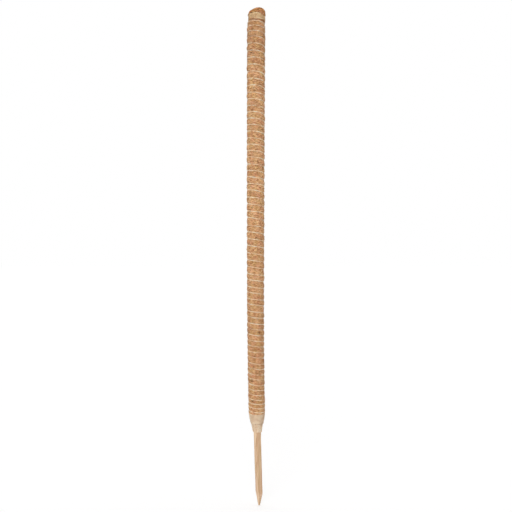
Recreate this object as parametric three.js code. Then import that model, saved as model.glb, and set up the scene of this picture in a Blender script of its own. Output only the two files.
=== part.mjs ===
// A coir-wrapped pole for climbing plants: a pointed wooden stake, coir rolled and wrapped round it,
// and pale twine that binds the coir in an open helix and lashes it at both ends.
// Millimetres, +Z up. The origin is the centre of the stake at the soil line, which is the lower edge
// of the collar lashing. The front is -Y, with +X to its right.

import * as THREE from "three";

// Heights from the point of the stake to the crown of the cap
const TIP_Z = -178;
const POINT_Z = -140;
const TAIL_Z = 18.5;
const SHOULDER_Z = 43.5;
const WADDING_Z = 50.5;
const NECK_Z = 989;
const NECK_TOP_Z = 1003.6;
const CROWN_Z = 1022;

// The stick bends towards +X, below and above its straightest height
const STRAIGHT_Z = 340;
const BEND_AT_TIP = 9.7;
const BEND_AT_CROWN = 1.7;

// Stake: a sawn square stick with eased edges, turned about its length, cut to a blunt point
const STAKE_SIDE = 12.6;
const STAKE_EDGE_R = 1.2;
const STAKE_TURN = THREE.MathUtils.degToRad(39);
const TIP_SHARE = 0.15;

// Coir: outside radii of the body, its drawn-in tail and neck, and the wadding under the mat, and the
// height over which the mat's bore closes from the wadding to the stake
const BODY_R_LOW = 20.4;
const BODY_R_HIGH = 22.4;
const TAIL_R = 10.9;
const SHOULDER_R = 16.4;
const NECK_R = 17.8;
const WADDING_R = 13.6;
const BORE_TAPER = 4;

// The twine presses a groove into the mat, shallower where the turns crowd together
const GROOVE_DEPTH = 4.4;
const GROOVE_PER_PITCH = 0.33;

// Clearance between pieces that touch
const GAP = 0.35;

// Cap: a tuft of coir that leans to +X, as height, radius and lean of each ring
const CAP_RINGS = [
  { z: NECK_TOP_Z + GAP, radius: 18, lean: 0.5 },
  { z: 1008, radius: 19.6, lean: 1.5 },
  { z: 1012.5, radius: 18.3, lean: 3.6 },
  { z: 1017.3, radius: 14, lean: 5.3 },
  { z: CROWN_Z, radius: 6, lean: 6 },
];

// Twine: a round cord drawn as a square section of the same area
const TWINE_D = 2.4;
const TWINE_SIDE = (TWINE_D * Math.sqrt(Math.PI)) / 2;
const TWINE_SIDES = 4;
const KNOT_R = 1.9;
const KNOT_LENGTH = 4.4;
const KNOT_SIDES = 8;

// Binding: runs of turns from the lower end, each with its first and last pitch
const BINDING_LOW_Z = 46.9;
const BINDING_RUNS = [
  { turns: 0.5, from: 5.8, to: 5.8 },
  { turns: 3, from: 9.8, to: 9.8 },
  { turns: 5, from: 11.5, to: 12.7 },
  { turns: 9, from: 13.25, to: 13.6 },
  { turns: 8, from: 14.45, to: 14.8 },
  { turns: 12, from: 16.65, to: 16.65 },
  { turns: 8, from: 15.65, to: 15.65 },
  { turns: 7, from: 15.4, to: 15.4 },
  { turns: 8, from: 16.65, to: 16.65 },
  { turns: 3, from: 14, to: 11.3 },
  { turns: 0.5, from: 6, to: 6 },
];

// Lashings: height of the middle of the first turn, and the turns
const TIGHT_PITCH = 2.65;
const COLLAR_LASHING = { low: 1.1, turns: 6, pitch: TIGHT_PITCH };
const CONE_LASHING = { low: 20, turns: 8, pitch: TIGHT_PITCH };
const TOP_LASHING = { low: 990.7, turns: 4, pitch: 2.85 };
const COLLAR_SWELL = 1.7;

// Every ring and every turn has the same twelve directions, from the back and clockwise from above
const COLUMNS = 12;
const BACK = Math.PI / 2;
const STEP = (2 * Math.PI) / COLUMNS;
const FLAT_SHARE = Math.cos(STEP / 2);
const LONG_RINGS = 11;

const { lerp, clamp, mapLinear } = THREE.MathUtils;

// Bend of the stick at a height, measured from the origin
function bend(z) {
  if (z < STRAIGHT_Z) {
    return BEND_AT_TIP * ((STRAIGHT_Z - z) / (STRAIGHT_Z - TIP_Z)) ** 2;
  }
  return BEND_AT_CROWN * ((z - STRAIGHT_Z) / (CROWN_Z - STRAIGHT_Z)) ** 2;
}

function axisX(z) {
  return bend(z) - bend(0);
}

function around(z, angle, radius) {
  return new THREE.Vector3(axisX(z) + radius * Math.cos(angle), radius * Math.sin(angle), z);
}

function ring(z, radius, lean = 0) {
  const points = [];
  for (let k = 0; k < COLUMNS; k++) {
    points.push(around(z, BACK - k * STEP, radius));
    points[k].x += lean;
  }
  return points;
}

function heights(low, high) {
  return Array.from({ length: LONG_RINGS }, (_, i) => lerp(low, high, i / (LONG_RINGS - 1)));
}

function geometryOf(points, faces) {
  const geometry = new THREE.BufferGeometry();
  geometry.setFromPoints(points);
  geometry.setIndex(faces.flat());
  geometry.computeVertexNormals();
  return geometry;
}

// Two triangles between neighbours on two rings, the lower pair first
function quad(lowA, highA, highB, lowB) {
  return [
    [lowA, highA, highB],
    [lowA, highB, lowB],
  ];
}

// A solid skinned over rings: capped at both ends, or closed from the last ring to the first
function skin(rings, closed = false) {
  const width = rings[0].length;
  const faces = [];
  const strips = closed ? rings.length : rings.length - 1;
  for (let r = 0; r < strips; r++) {
    const low = r * width;
    const high = ((r + 1) % rings.length) * width;
    for (let k = 0; k < width; k++) {
      const next = (k + 1) % width;
      faces.push(...quad(low + k, high + k, high + next, low + next));
    }
  }
  if (!closed) {
    const top = (rings.length - 1) * width;
    for (let k = 1; k + 1 < width; k++) {
      faces.push([0, k, k + 1], [top, top + k + 1, top + k]);
    }
  }
  return geometryOf(rings.flat(), faces);
}

// Stake

const STAKE_CORNER_R = Math.SQRT2 * (STAKE_SIDE / 2 - STAKE_EDGE_R) + STAKE_EDGE_R;
const BORE_R = (STAKE_CORNER_R + GAP) / FLAT_SHARE;

function stakeRing(z, share = 1) {
  const quarter = Math.PI / 2;
  const inset = Math.SQRT2 * (STAKE_SIDE / 2 - STAKE_EDGE_R);
  const points = [];
  for (let corner = 0; corner < 4; corner++) {
    const middle = STAKE_TURN - (corner + 0.5) * quarter;
    for (let step = 0; step < 3; step++) {
      const edge = middle + (1 - step) * (quarter / 2);
      const x = inset * Math.cos(middle) + STAKE_EDGE_R * Math.cos(edge);
      const y = inset * Math.sin(middle) + STAKE_EDGE_R * Math.sin(edge);
      points.push(new THREE.Vector3(axisX(z) + share * x, share * y, z));
    }
  }
  return points;
}

function makeStake() {
  const shaft = heights(POINT_Z, NECK_TOP_Z).map((z) => stakeRing(z));
  return skin([stakeRing(TIP_Z, TIP_SHARE), ...shaft]);
}

// Windings: stations along a helix that starts behind and climbs clockwise, which is left-handed

function stationsOf(low, runs) {
  const stations = [{ z: low, angle: BACK, pitch: runs[0].from }];
  for (const { turns, from, to } of runs) {
    const steps = Math.round(turns * COLUMNS);
    for (let i = 0; i < steps; i++) {
      const pitch = lerp(from, to, (i + 0.5) / steps);
      const last = stations.at(-1);
      stations.push({ z: last.z + pitch / COLUMNS, angle: last.angle - STEP, pitch });
    }
  }
  return stations;
}

function lashingStations({ low, turns, pitch }) {
  return stationsOf(low, [{ turns, from: pitch, to: pitch }]);
}

// Middle of the twine at each station, with a straight end of one diameter added at both ends
function twinePath(stations, radiusAt) {
  const path = stations.map((s) => around(s.z, s.angle, radiusAt(s)));
  const beyond = (end, before) =>
    end.clone().sub(before).setLength(TWINE_D).add(end);
  return [beyond(path[0], path[1]), ...path, beyond(path.at(-1), path.at(-2))];
}

function directionAt(path, i) {
  const before = path[Math.max(i - 1, 0)];
  const after = path[Math.min(i + 1, path.length - 1)];
  return after.clone().sub(before).normalize();
}

// Section rings of a winding, with a corner of the section turned outwards by the given angle
function twineRings(path, cornerTurn) {
  const cornerR = TWINE_SIDE / Math.SQRT2;
  return path.map((centre, i) => {
    const along = directionAt(path, i);
    const outward = new THREE.Vector3(centre.x - axisX(centre.z), centre.y, 0);
    outward.addScaledVector(along, -outward.dot(along)).normalize();
    const sideways = outward.clone().cross(along);
    return Array.from({ length: TWINE_SIDES }, (_, k) => {
      const angle = cornerTurn + (k * 2 * Math.PI) / TWINE_SIDES;
      return centre
        .clone()
        .addScaledVector(outward, cornerR * Math.cos(angle))
        .addScaledVector(sideways, cornerR * Math.sin(angle));
    });
  });
}

// Least distance between the section corners of one turn and those of another
function leastGap(rings) {
  let least = Infinity;
  for (let i = 0; i < rings.length; i++) {
    for (let j = i + COLUMNS / 2; j < rings.length; j++) {
      for (const a of rings[i]) {
        for (const b of rings[j]) least = Math.min(least, a.distanceTo(b));
      }
    }
  }
  return least;
}

function makeWinding(name, path, cornerTurn) {
  const rings = twineRings(path, cornerTurn);
  console.log(`${name}: least gap between its turns ${leastGap(rings).toFixed(2)} mm`);
  return skin(rings);
}

const CORNER_OUT = 0;
const FACE_OUT = Math.PI / 4;

// Binding twine, and the groove that it lies in

const binding = stationsOf(BINDING_LOW_Z, BINDING_RUNS);

function crestRadius(z) {
  return mapLinear(z, SHOULDER_Z, NECK_Z, BODY_R_LOW, BODY_R_HIGH);
}

function grooveRadius({ z, pitch }) {
  return crestRadius(z) - Math.min(GROOVE_DEPTH, GROOVE_PER_PITCH * pitch);
}

const bindingPath = twinePath(binding, (s) => grooveRadius(s) + GAP + TWINE_SIDE / Math.SQRT2);

// Coir mat: grooves and crests follow the binding, a plain bore runs inside

function coneRadius(z) {
  return mapLinear(z, TAIL_Z, SHOULDER_Z, TAIL_R, SHOULDER_R);
}

// Crest between a turn and the next, rising from the groove over the first and last half turn
function crestPoints() {
  const last = binding.length - 1 - COLUMNS;
  return binding.slice(0, last + 1).map((station, i) => {
    const z = (station.z + binding[i + COLUMNS].z) / 2;
    const rise = clamp(Math.min(i, last - i) / (COLUMNS / 2), 0, 1);
    return around(z, station.angle, lerp(grooveRadius(station), crestRadius(z), rise));
  });
}

function makeMat() {
  const points = [];
  const faces = [];
  const put = (list) => points.push(...list) - list.length;
  const strip = (low, high) => {
    for (let k = 0; k < COLUMNS; k++) {
      const next = (k + 1) % COLUMNS;
      faces.push(...quad(low + k, high + k, high + next, low + next));
    }
  };

  const floor = put(binding.map((s) => around(s.z, s.angle, grooveRadius(s))));
  const crestList = crestPoints();
  const crest = put(crestList);
  const lastTurn = crestList.length - 1;
  for (let i = 0; i < lastTurn; i++) {
    const f = floor + i;
    const c = crest + i;
    faces.push(...quad(f, c, c + 1, f + 1));
    faces.push(...quad(c, f + COLUMNS, f + COLUMNS + 1, c + 1));
  }

  // Below the first turn: a level ring, with the start of the first crest in its last column
  const tail = put(ring(TAIL_Z, TAIL_R));
  const shoulder = put(ring(SHOULDER_Z, SHOULDER_R));
  strip(tail, shoulder);
  for (let k = 0; k + 1 < COLUMNS; k++) {
    faces.push(...quad(shoulder + k, floor + k, floor + k + 1, shoulder + k + 1));
  }
  const hub = floor + COLUMNS - 1;
  const lowFan = [floor + COLUMNS, crest, floor, shoulder, shoulder + COLUMNS - 1];
  for (let k = 0; k + 1 < lowFan.length; k++) faces.push([hub, lowFan[k], lowFan[k + 1]]);

  // Above the last turn: the same, with the end of the last crest in the first column
  const neck = put(ring(NECK_Z, NECK_R));
  const neckTop = put(ring(NECK_TOP_Z, NECK_R));
  const top = floor + lastTurn;
  for (let k = 1; k < COLUMNS; k++) {
    const next = (k + 1) % COLUMNS;
    faces.push(...quad(top + k, neck + k, neck + next, top + k + 1));
  }
  const highFan = [top, crest + lastTurn, top + COLUMNS, neck, neck + 1];
  for (let k = 0; k + 1 < highFan.length; k++) {
    faces.push([top + 1, highFan[k], highFan[k + 1]]);
  }
  strip(neck, neckTop);

  // Bore, from the top down: round the wadding, then close round the stake
  const wideBore = heights(WADDING_Z - GAP, NECK_TOP_Z).map((z) => put(ring(z, WADDING_R + GAP)));
  const closing = put(ring(WADDING_Z - BORE_TAPER, BORE_R));
  const tailBore = put(ring(TAIL_Z, BORE_R));
  const bore = [neckTop, ...wideBore.reverse(), closing, tailBore, tail];
  for (let k = 0; k + 1 < bore.length; k++) strip(bore[k], bore[k + 1]);

  return geometryOf(points, faces);
}

function makeWadding() {
  const levels = heights(WADDING_Z, NECK_TOP_Z);
  const outside = levels.map((z) => ring(z, WADDING_R));
  const inside = levels.map((z) => ring(z, BORE_R)).reverse();
  return skin([...outside, ...inside], true);
}

function makeCap() {
  return skin(CAP_RINGS.map(({ z, radius, lean }) => ring(z, radius, lean)));
}

// Lashings: each follows what it is wound on

const FLAT_REACH = GAP + TWINE_SIDE / 2;

function collarRadius({ z }) {
  const { low, turns, pitch } = COLLAR_LASHING;
  return BORE_R + TWINE_SIDE / 2 + COLLAR_SWELL * ((z - low) / (turns * pitch));
}

const collarPath = twinePath(lashingStations(COLLAR_LASHING), collarRadius);
const conePath = twinePath(
  lashingStations(CONE_LASHING),
  ({ z }) => coneRadius(z + TWINE_SIDE / 2) + FLAT_REACH,
);
const topPath = twinePath(lashingStations(TOP_LASHING), () => NECK_R + FLAT_REACH);

// Knot: a bead at the end of the binding twine, flat where the twine meets it
function makeKnot(end, before) {
  const along = end.clone().sub(before).normalize();
  const shoulder = KNOT_LENGTH / 3;
  const profile = [
    new THREE.Vector2(0, 0),
    new THREE.Vector2(TWINE_D / 2, 0),
    new THREE.Vector2(KNOT_R, shoulder),
    new THREE.Vector2(KNOT_R, KNOT_LENGTH - shoulder),
    new THREE.Vector2(TWINE_D / 2, KNOT_LENGTH),
    new THREE.Vector2(0, KNOT_LENGTH),
  ];
  const geometry = new THREE.LatheGeometry(profile, KNOT_SIDES);
  const turn = new THREE.Quaternion().setFromUnitVectors(new THREE.Vector3(0, 1, 0), along);
  return { geometry, turn, place: end.clone().addScaledVector(along, GAP) };
}

// Finishes, and the assembled pole

function finish(colour, roughness) {
  return new THREE.MeshStandardMaterial({ color: colour, roughness, metalness: 0 });
}

const WOOD = () => finish(0xd7b389, 0.75);
const COIR = () => finish(0xc3976f, 0.95);
const DARK_COIR = () => finish(0xa06c40, 0.95);
const TWINE = () => finish(0xe8cba5, 0.9);
const TIGHT_TWINE = () => finish(0xd8bd9f, 0.9);

const pole = new THREE.Group();

function addPiece(name, geometry, material) {
  const piece = new THREE.Mesh(geometry, material);
  piece.name = name;
  pole.add(piece);
  return piece;
}

function addKnot(name, end, before) {
  const { geometry, turn, place } = makeKnot(end, before);
  const piece = addPiece(name, geometry, TWINE());
  piece.quaternion.copy(turn);
  piece.position.copy(place);
}

addPiece("stake", makeStake(), WOOD());
addPiece("coir_wadding", makeWadding(), DARK_COIR());
addPiece("coir_mat", makeMat(), COIR());
addPiece("coir_cap", makeCap(), DARK_COIR());
addPiece("binding_twine", makeWinding("binding_twine", bindingPath, CORNER_OUT), TWINE());
addPiece("top_lashing", makeWinding("top_lashing", topPath, FACE_OUT), TIGHT_TWINE());
addPiece("cone_lashing", makeWinding("cone_lashing", conePath, FACE_OUT), TIGHT_TWINE());
addPiece("collar_lashing", makeWinding("collar_lashing", collarPath, FACE_OUT), TIGHT_TWINE());
addKnot("top_knot", bindingPath.at(-1), bindingPath.at(-2));
addKnot("bottom_knot", bindingPath[0], bindingPath[1]);

export default pole;
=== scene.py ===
# %% [markdown]
# This is a pole for climbing plants to root into: a wooden stick, sharpened at its lower end, with coir
# (coconut fibre) wrapped round it and bound by one long pale twine. Its solids are already modelled at full
# size. They could be modelled again here from nothing, but loading them as a fixed frame means that every
# fibre goes where the solid says, with no fitting afterwards.

import math

import bpy
import numpy as np
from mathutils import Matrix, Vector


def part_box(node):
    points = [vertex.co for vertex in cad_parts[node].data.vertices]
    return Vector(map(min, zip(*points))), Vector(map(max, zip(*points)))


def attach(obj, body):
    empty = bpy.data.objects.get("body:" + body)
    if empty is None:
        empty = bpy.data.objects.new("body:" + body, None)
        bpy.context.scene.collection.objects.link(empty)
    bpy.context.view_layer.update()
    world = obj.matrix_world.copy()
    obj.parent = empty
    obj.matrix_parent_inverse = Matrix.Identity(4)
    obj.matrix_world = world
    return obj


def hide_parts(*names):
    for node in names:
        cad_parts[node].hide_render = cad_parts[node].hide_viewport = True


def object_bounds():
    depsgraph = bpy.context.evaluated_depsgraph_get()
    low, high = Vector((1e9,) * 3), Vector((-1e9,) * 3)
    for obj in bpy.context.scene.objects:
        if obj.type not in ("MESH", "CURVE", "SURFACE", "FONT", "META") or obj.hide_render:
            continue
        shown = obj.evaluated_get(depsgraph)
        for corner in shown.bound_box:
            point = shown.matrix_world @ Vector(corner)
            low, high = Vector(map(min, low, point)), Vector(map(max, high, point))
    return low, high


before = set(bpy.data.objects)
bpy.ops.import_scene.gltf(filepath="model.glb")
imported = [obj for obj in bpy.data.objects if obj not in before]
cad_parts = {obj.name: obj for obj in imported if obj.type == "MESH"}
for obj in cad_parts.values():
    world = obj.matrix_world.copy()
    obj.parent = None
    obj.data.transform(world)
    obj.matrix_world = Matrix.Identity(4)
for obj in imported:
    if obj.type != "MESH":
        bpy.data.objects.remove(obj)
SOLID_LOW, SOLID_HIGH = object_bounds()
MM = 0.001
POLE_HEIGHT = SOLID_HIGH.z - SOLID_LOW.z
print("solids to dress:", ", ".join(sorted(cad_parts)))
print(f"pole: {POLE_HEIGHT:.3f} m from the point of the stake to the crown")

# %% [markdown]
# The camera stands level with the middle of the pole. The turns of twine bow up near the top of the picture
# and down near the bottom, which only happens close to the object, and the amount gives the focal length.
# Blender could be asked to frame the pole by itself, but working the distance out from how many pixels tall
# the pole appears keeps the perspective right as well as the framing.

# %% Camera
PICTURE_PX = 512
FOCAL_PX = 520
POLE_PX = 498
SENSOR_MM = 36
CAMERA_X = -3.1 * MM

CAMERA_DISTANCE = FOCAL_PX * POLE_HEIGHT / POLE_PX
CAMERA_Z = (SOLID_LOW.z + SOLID_HIGH.z) / 2


def put_in_scene(name, data):
    """An object made from a camera, a lamp or a mesh, linked into the scene."""
    thing = bpy.data.objects.new(name, data)
    bpy.context.scene.collection.objects.link(thing)
    return thing


lens = bpy.data.cameras.new("camera")
lens.sensor_width = SENSOR_MM
lens.lens = SENSOR_MM * FOCAL_PX / PICTURE_PX
camera = put_in_scene("camera", lens)
camera.location = (CAMERA_X, -CAMERA_DISTANCE, CAMERA_Z)
camera.rotation_euler = (math.pi / 2, 0, 0)
bpy.context.scene.camera = camera
print(f"camera: {CAMERA_DISTANCE:.3f} m in front, {lens.lens:.1f} mm lens")

# %% [markdown]
# Every finish below is made of a few shader nodes: soft random patches, a ramp of tones, a tint, a bump.
# Wiring each node by hand would fill pages, so small helpers do it. Colours are written as the eye names
# them, in red, green and blue from 0 to 255, and turned into the light values that a shader takes.

# %% Helpers for finishes
def tone(red, green, blue):
    """A colour from 0 to 255 as a shader's light values."""
    shares = np.array([red, green, blue]) / 255
    light = np.where(shares <= 0.04045, shares / 12.92, ((shares + 0.055) / 1.055) ** 2.4)
    return (*light.tolist(), 1.0)


def new_finish(name):
    """A material with its node tree and its shader."""
    finish = bpy.data.materials.new(name)
    finish.use_nodes = True
    return finish, finish.node_tree, finish.node_tree.nodes["Principled BSDF"]


def feed(tree, node, inputs):
    """Give each of these inputs of a node a fixed value, or another node's output."""
    for socket, given in inputs.items():
        if isinstance(given, bpy.types.NodeSocket):
            tree.links.new(given, node.inputs[socket])
        else:
            node.inputs[socket].default_value = given


def add_node(tree, kind, **inputs):
    """A shader node of a kind, with these inputs given."""
    node = tree.nodes.new("ShaderNode" + kind)
    feed(tree, node, inputs)
    return node


def place_in(tree):
    """The place of a point in the object's own space."""
    return add_node(tree, "TexCoord").outputs["Object"]


def axes_of(tree):
    """The same place as separate X, Y and Z."""
    return add_node(tree, "SeparateXYZ", Vector=place_in(tree)).outputs


def patches(tree, across, drawn_out=1.0, detail=3.0):
    """Soft random patches of a size in metres, drawn out along the pole."""
    stretch = add_node(tree, "Mapping", Vector=place_in(tree), Scale=(1, 1, 1 / drawn_out))
    place = stretch.outputs["Vector"]
    return add_node(tree, "TexNoise", Vector=place, Scale=1 / across, Detail=detail).outputs["Fac"]


def worked(tree, operation, first, second):
    """A value worked out from another and a number or a second value."""
    sum_node = add_node(tree, "Math")
    sum_node.operation = operation
    feed(tree, sum_node, {0: first, 1: second})
    return sum_node.outputs["Value"]


def between(tree, first, second, share):
    """A value that lies this share of the way from the first to the second."""
    return add_node(tree, "Mix", A=first, B=second, Factor=share).outputs["Result"]


def spread(tree, value, low, high, start=0.3, end=0.7):
    """The value from start to end stretched out from low to high."""
    ranged = add_node(tree, "MapRange", Value=value)
    feed(tree, ranged, {"From Min": start, "From Max": end, "To Min": low, "To Max": high})
    return ranged.outputs["Result"]


def tones(tree, value, places, *colours):
    """A colour for the value, from three places on a ramp and their colours."""
    ramp = add_node(tree, "ValToRGB", Fac=value)
    ramp.color_ramp.elements.new(0.5)
    for stop, place, colour in zip(ramp.color_ramp.elements, places, colours):
        stop.position = place
        stop.color = tone(*colour)
    return ramp.outputs["Color"]


def tinted(tree, colour, tint, share):
    """The colour drawn towards a tint, by a share that varies over the surface."""
    mix = add_node(tree, "Mix")
    mix.data_type = "RGBA"
    feed(tree, mix, {"A": colour, "B": tone(*tint), "Factor": share})
    return mix.outputs["Result"]


def drifting(tree, colour, drift, across, drawn_out=1.0):
    """The colour with a hue that drifts to both sides in patches."""
    hue = spread(tree, patches(tree, across, drawn_out), 0.5 - drift, 0.5 + drift)
    return add_node(tree, "HueSaturation", Color=colour, Hue=hue).outputs["Color"]


def surface(tree, shader, colour, shine, height, depth, rough):
    """Colour and shine, and from one height both a bump and a roughness, from low to high."""
    bump = add_node(tree, "Bump", Height=height, Distance=depth).outputs["Normal"]
    feed(tree, shader, {"Base Color": colour, "Specular IOR Level": shine, "Normal": bump})
    feed(tree, shader, {"Roughness": spread(tree, height, *rough)})


print("finish helpers ready")

# %% [markdown]
# The studio is a pale floor under a white sky. The sky could simply be made bright enough to look white,
# but then it would flood the coir with light. Instead the camera sees pure white, while the light that
# reaches the pole is weaker. A wide, soft sun stands in front and a little to the left, to model the
# roundness, and a weaker one fills in the back.

# %% Sky and suns
WHITE = (1, 1, 1, 1)
SKY_LIGHT = 0.55

bpy.context.scene.view_settings.view_transform = "Standard"
sky = bpy.data.worlds.new("sky")
bpy.context.scene.world = sky
sky.use_nodes = True


def seen_white(tree):
    """One for rays that show the backdrop, nought for rays that light things."""
    rays = add_node(tree, "LightPath").outputs
    seen = rays["Is Camera Ray"]
    for ray in ("Is Glossy Ray", "Is Transmission Ray"):
        seen = worked(tree, "MAXIMUM", seen, rays[ray])
    return seen


def add_sun(name, light, width, height, from_left):
    """A sun of a strength, with its width and where it stands in degrees."""
    lamp = bpy.data.lights.new(name, "SUN")
    lamp.energy = light
    lamp.angle = math.radians(width)
    put_in_scene(name, lamp).rotation_euler = (math.radians(90 - height), 0, -math.radians(from_left))
    print(f"{name}: {light} from {height} degrees up")


strength = spread(sky.node_tree, seen_white(sky.node_tree), SKY_LIGHT, 1.0, 0, 1)
feed(sky.node_tree, sky.node_tree.nodes["Background"], {"Color": WHITE, "Strength": strength})
add_sun("sun", light=1.77, width=45, height=12, from_left=12)
add_sun("fill", light=1.3, width=120, height=35, from_left=190)

# %% [markdown]
# The floor is one large plane at the height of the stake's point. A pale diffuse floor renders a little
# grey, so a small glow, which only the camera sees, lifts it to the white of the sky and hides the horizon.

# %% Floor
FLOOR_REACH = 30.0
FLOOR_PALE = (0.6, 0.6, 0.6, 1)
FLOOR_GLOW = 0.45

floor_mesh = bpy.data.meshes.new("floor")
corners = [(x * FLOOR_REACH, y * FLOOR_REACH, SOLID_LOW.z) for x, y in ((-1, -1), (1, -1), (1, 1), (-1, 1))]
floor_mesh.from_pydata(corners, [], [(0, 1, 2, 3)])
floor = put_in_scene("floor", floor_mesh)

floor_finish, floor_tree, floor_shader = new_finish("floor_white")
glow = spread(floor_tree, seen_white(floor_tree), 0.0, FLOOR_GLOW, 0, 1)
feed(floor_tree, floor_shader, {"Base Color": FLOOR_PALE, "Roughness": 1.0, "Specular IOR Level": 0.0})
feed(floor_tree, floor_shader, {"Emission Color": WHITE, "Emission Strength": glow})
floor_mesh.materials.append(floor_finish)
print("floor at", round(SOLID_LOW.z, 4), "m")

# %% [markdown]
# The stick is not quite straight: below and above its middle it bends a little to the right. Bending each
# finished piece with a modifier would need every piece to share the same axis, so the bend is a formula
# instead, and every point of every piece is placed round that bent middle line.

# %% The bent middle line
STRAIGHT_Z = 340 * MM
BEND_AT_TIP = 9.7 * MM
BEND_AT_CROWN = 1.7 * MM
TIP_Z = SOLID_LOW.z
CROWN_Z = SOLID_HIGH.z
FULL_TURN = 2 * math.pi
BACK = math.pi / 2


def bend(z):
    """How far to the right the middle line lies, nought at the soil."""
    below = BEND_AT_TIP * ((STRAIGHT_Z - z) / (STRAIGHT_Z - TIP_Z)) ** 2
    above = BEND_AT_CROWN * ((z - STRAIGHT_Z) / (CROWN_Z - STRAIGHT_Z)) ** 2
    return np.where(z < STRAIGHT_Z, below, above) - BEND_AT_TIP * (STRAIGHT_Z / (STRAIGHT_Z - TIP_Z)) ** 2


def around(angle, z, radius):
    """Points round the middle line. Angle 0 is the right side and a quarter turn is the back."""
    x = bend(z) + radius * np.cos(angle)
    return np.stack(np.broadcast_arrays(x, radius * np.sin(angle), z), axis=-1)


def away(angle):
    """Directions straight away from the middle line."""
    return np.stack([np.cos(angle), np.sin(angle), np.zeros_like(angle)], axis=-1)


def evenly_round(count):
    """This many angles, spaced evenly over a full turn."""
    return FULL_TURN * np.arange(count) / count


print(f"the point of the stake lies {1000 * float(bend(TIP_Z)):.1f} mm to the right")

# %% [markdown]
# Coir is lumpy. A displace modifier would do for one mesh, but the loose fibres have to follow the same
# lumps, so they come from a formula too: a sum of random waves, each a whole number of waves round the
# pole, so that the pattern closes on itself behind.

# %% Lumps
BODY_R = 21 * MM


def lumps(angle, z, across, seed, waves=24):
    """Smooth random bumps of a size in metres, about one unit high."""
    draw = np.random.default_rng(seed)
    total = 0.0
    for _ in range(waves):
        slant = draw.uniform(0, FULL_TURN)
        round_the_pole = round(math.pi * BODY_R / across * math.cos(slant))
        up_the_pole = math.pi / across * math.sin(slant)
        total = total + np.cos(round_the_pole * angle + up_the_pole * z + draw.uniform(0, FULL_TURN))
    return total * math.sqrt(2 / waves)


def ease(value, start, end):
    """From 0 to 1, slow at both ends."""
    share = np.clip((value - start) / (end - start), 0, 1)
    return share * share * (3 - 2 * share)


def bell(off, width):
    """One in the middle, and less and less away from it."""
    return np.exp(-((off / width) ** 2))


print("lumps ready")

# %% [markdown]
# Pieces are grids of points that close round. Blender can build such grids from primitives, but the points
# are known here already, so one helper joins neighbours into faces and another makes the object. Every
# piece rides on the pole's one body and may stand for a solid, which is then hidden.
#
# A grid also has a natural map for painting its colours into a picture, when the model goes to another
# program: unrolled, cut into strips along its length, and the strips laid side by side. Blender can unwrap
# a mesh by itself, but with thousands of thin strands most of its map is margin.

# %% Helpers for pieces
STRIP_MARGIN = 0.08
END_SHARE = 0.9


def wall_faces(corners):
    """Faces between neighbouring rows of a grid of corner numbers that closes round."""
    low = corners[..., :-1, :]
    high = corners[..., 1:, :]
    sides = [low, np.roll(low, -1, axis=-1), np.roll(high, -1, axis=-1), high]
    return np.stack(sides, axis=-1).reshape(-1, 4).tolist()


def lay_out(piece, count, rows, sides, strips):
    """A map of a number of tubes, each cut into strips along its length."""
    abreast = max(strips, math.ceil(math.sqrt(count)))
    shelves = math.ceil(count * strips / abreast)
    faces_long = math.ceil((rows - 1) / strips)
    tube, row, side, corner = np.ogrid[:count, :rows - 1, :sides, :4]
    strip = tube * strips + row // faces_long
    right = side + np.isin(corner, (1, 2))
    up = row % faces_long + np.isin(corner, (2, 3))
    room = 1 - 2 * STRIP_MARGIN
    across = (strip % abreast + STRIP_MARGIN + room * right / sides) / abreast
    along = (strip // abreast + STRIP_MARGIN + room * up / faces_long) / shelves
    places = [np.stack(np.broadcast_arrays(across, along), axis=-1).reshape(-1, 2)]
    rim = STRIP_MARGIN / 2 * (1 + END_SHARE * away(evenly_round(sides))[:, :2])
    first = strips * np.arange(count)[:, None]
    ends = (np.stack([first % abreast, first // abreast], axis=-1) + rim) / (abreast, shelves)
    while sum(map(len, places)) < len(piece.data.loops):
        places.append(ends.reshape(-1, 2))
    flat = piece.data.uv_layers.new(name="OFBake")
    flat.uv.foreach_set("vector", np.concatenate(places).astype(np.float32).ravel())


def add_piece(name, points, faces, finish, slot, *solids):
    mesh = bpy.data.meshes.new(name)
    mesh.from_pydata(points.reshape(-1, 3).tolist(), [], faces)
    mesh.shade_smooth()
    mesh.materials.append(finish)
    piece = put_in_scene(name, mesh)
    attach(piece, "root")
    if solids:
        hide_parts(*solids)
    triangles = sum(len(face) - 2 for face in faces)
    print(f"{name}: {triangles} triangles")
    return piece


def add_grid(name, points, finish, slot, *solids, closed=False, strips=1):
    """A piece from rows of points: closed back to the first row, or shut at both ends."""
    rows, sides = points.shape[:2]
    corners = np.arange(rows * sides).reshape(rows, sides)
    if closed:
        faces = wall_faces(np.concatenate([corners, corners[:1]]))
    else:
        faces = wall_faces(corners) + [corners[0, ::-1].tolist(), corners[-1].tolist()]
    piece = add_piece(name, points, faces, finish, slot, *solids)
    lay_out(piece, 1, rows + closed, sides, strips)
    return piece


print("piece helpers ready")
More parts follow.
